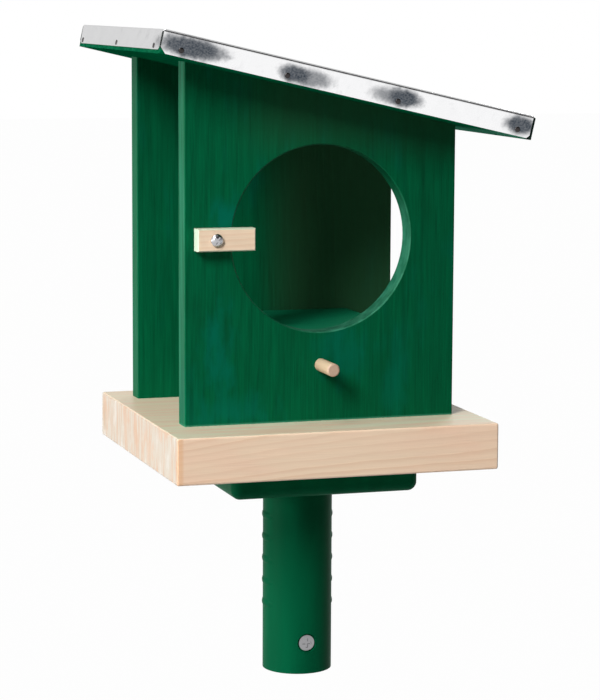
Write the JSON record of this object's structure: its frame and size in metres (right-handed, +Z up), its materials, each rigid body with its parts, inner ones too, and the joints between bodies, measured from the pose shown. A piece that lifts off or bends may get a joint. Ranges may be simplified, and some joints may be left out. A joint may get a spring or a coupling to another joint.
{
  "type": "pole-top jar bird feeder",
  "caption": "Pole-top bird feeder: a round hole in an upright board shows a jar lying on an inner shelf, under a sloping metal-capped board roof, with a turn button, a perch and a pole socket.",
  "frame": {"origin": "centre of the flat seat inside the pole socket, where the top of the pole bears", "axes": "+Z up along the pole, -Y towards the front with the round hole, +X towards the low side of the roof"},
  "size_m": [0.1738, 0.1547, 0.2981],
  "materials": {
    "bare_pine": "planed pine, unpainted",
    "green_stained_wood": "thin dark green wood stain with the grain showing",
    "dowel_wood": "sanded bare wood",
    "galvanised_sheet": "bright galvanised steel sheet, folded",
    "plated_nails": "plated steel",
    "plated_screws": "zinc-plated steel",
    "green_plastic": "moulded dark green plastic, slight sheen"
  },
  "bodies": {
    "root": {"base_board": "bare_pine", "front_wall": "green_stained_wood", "back_wall": "green_stained_wood", "shelf": "green_stained_wood", "perch": "dowel_wood", "turn_button_screw": "plated_screws", "roof_board": "green_stained_wood", "roof_sheet": "galvanised_sheet", "roof_nails_front": "plated_nails", "roof_nails_back": "plated_nails", "roof_nails_high": "plated_nails", "roof_nails_low": "plated_nails", "pole_socket": "green_plastic", "clamp_screw": "plated_screws", "front_wall_screw_left": "plated_screws", "front_wall_screw_right": "plated_screws", "back_wall_screw_left": "plated_screws", "back_wall_screw_right": "plated_screws", "socket_screw_front_left": "plated_screws", "socket_screw_front_right": "plated_screws", "socket_screw_back_left": "plated_screws", "socket_screw_back_right": "plated_screws"},
    "button": {"turn_button": "dowel_wood"}
  },
  "joints": [
    {"name": "button_turn", "type": "hinge", "parent": "root", "child": "button", "pos_m": [-0.0507, -0.0375, 0.1076], "axis": [0, 1, 0], "continuous": true}
  ]
}
